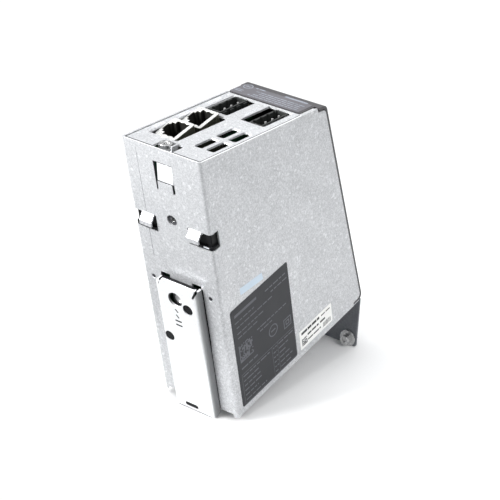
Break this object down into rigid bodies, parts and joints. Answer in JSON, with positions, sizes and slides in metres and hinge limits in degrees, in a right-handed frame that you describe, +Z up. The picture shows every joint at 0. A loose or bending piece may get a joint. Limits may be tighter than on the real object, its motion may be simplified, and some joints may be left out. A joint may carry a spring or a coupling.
{
  "type": "servo drive",
  "caption": "book-size servo drive with folded steel shell, inclined connection plate, plastic front cover, sprung DIN rail slider and hanging shield flange",
  "frame": {"origin": "centre of the 35 mm DIN rail on the back plane, on the middle of the width", "axes": "+Z up, +Y out of the back towards the rail, front cover towards -Y, side with the labels towards -X"},
  "size_m": [0.0451, 0.11, 0.1762],
  "materials": {
    "galvanised_sheet": "zinc spangle, satin",
    "slider_sheet": "bright zinc, satin",
    "dark_sheet": "dark grey, semi-matt",
    "black_plastic": "fine grain",
    "label_film": "printed film, satin",
    "clear_plastic": "milky, glossy",
    "liner_plastic": "glossy",
    "zinc_fastener": "bright zinc",
    "spring_wire": "drawn wire",
    "jack_shield": "tinned, bright",
    "jack_plastic": "moulded",
    "contact_metal": "gold plated",
    "header_plastic": "moulded",
    "pin_metal": "tinned",
    "white_paper": "printed film",
    "pale_sticker": "printed film",
    "board_green": "solder mask",
    "spacer_brass": "turned",
    "capacitor_sleeve": "shrunk sleeve",
    "ferrite": "sintered",
    "chip_black": "moulded",
    "heatsink": "extruded"
  },
  "bodies": {
    "housing": {"housing_shell": "galvanised_sheet", "rail_hooks": "galvanised_sheet", "top_plate": "galvanised_sheet", "bottom_plate": "galvanised_sheet", "front_cover": "black_plastic", "cover_label_strip": "label_film", "front_label": "label_film", "light_pipes": "clear_plastic", "inner_liner": "liner_plastic", "rear_nut": "zinc_fastener", "shield_flange": "dark_sheet", "flange_screws": "zinc_fastener", "flange_washers": "zinc_fastener", "flange_nuts": "zinc_fastener", "slider_spring": "spring_wire", "spring_post": "zinc_fastener", "jack_shield_rear": "jack_shield", "jack_shield_front": "jack_shield", "jack_insert_rear": "jack_plastic", "jack_insert_front": "jack_plastic", "jack_contacts_rear": "contact_metal", "jack_contacts_front": "contact_metal", "header_right": "header_plastic", "header_right_pins": "pin_metal", "header_left": "header_plastic", "header_left_pins": "pin_metal", "ground_screw": "zinc_fastener", "ground_washer": "zinc_fastener", "ground_lug": "galvanised_sheet", "side_label": "label_film", "rating_sticker": "white_paper", "small_sticker": "pale_sticker", "control_board": "board_green", "power_board": "board_green", "board_spacers": "spacer_brass", "board_screws": "zinc_fastener", "link_capacitors": "capacitor_sleeve", "transformer": "ferrite", "power_transistors": "chip_black", "heat_spreader": "heatsink", "controller_chip": "chip_black", "board_link": "chip_black", "motor_socket": "header_plastic", "motor_pins": "pin_metal", "encoder_socket": "jack_plastic"},
    "slider": {"din_slider": "slider_sheet"}
  },
  "joints": [
    {"name": "slider_slide", "type": "slide", "parent": "housing", "child": "slider", "axis": [0, 0, -1], "range_m": [0, 0.0055], "stiffness_N_per_m": 700, "springref_m": -0.004, "deforming": ["slider_spring"]}
  ]
}
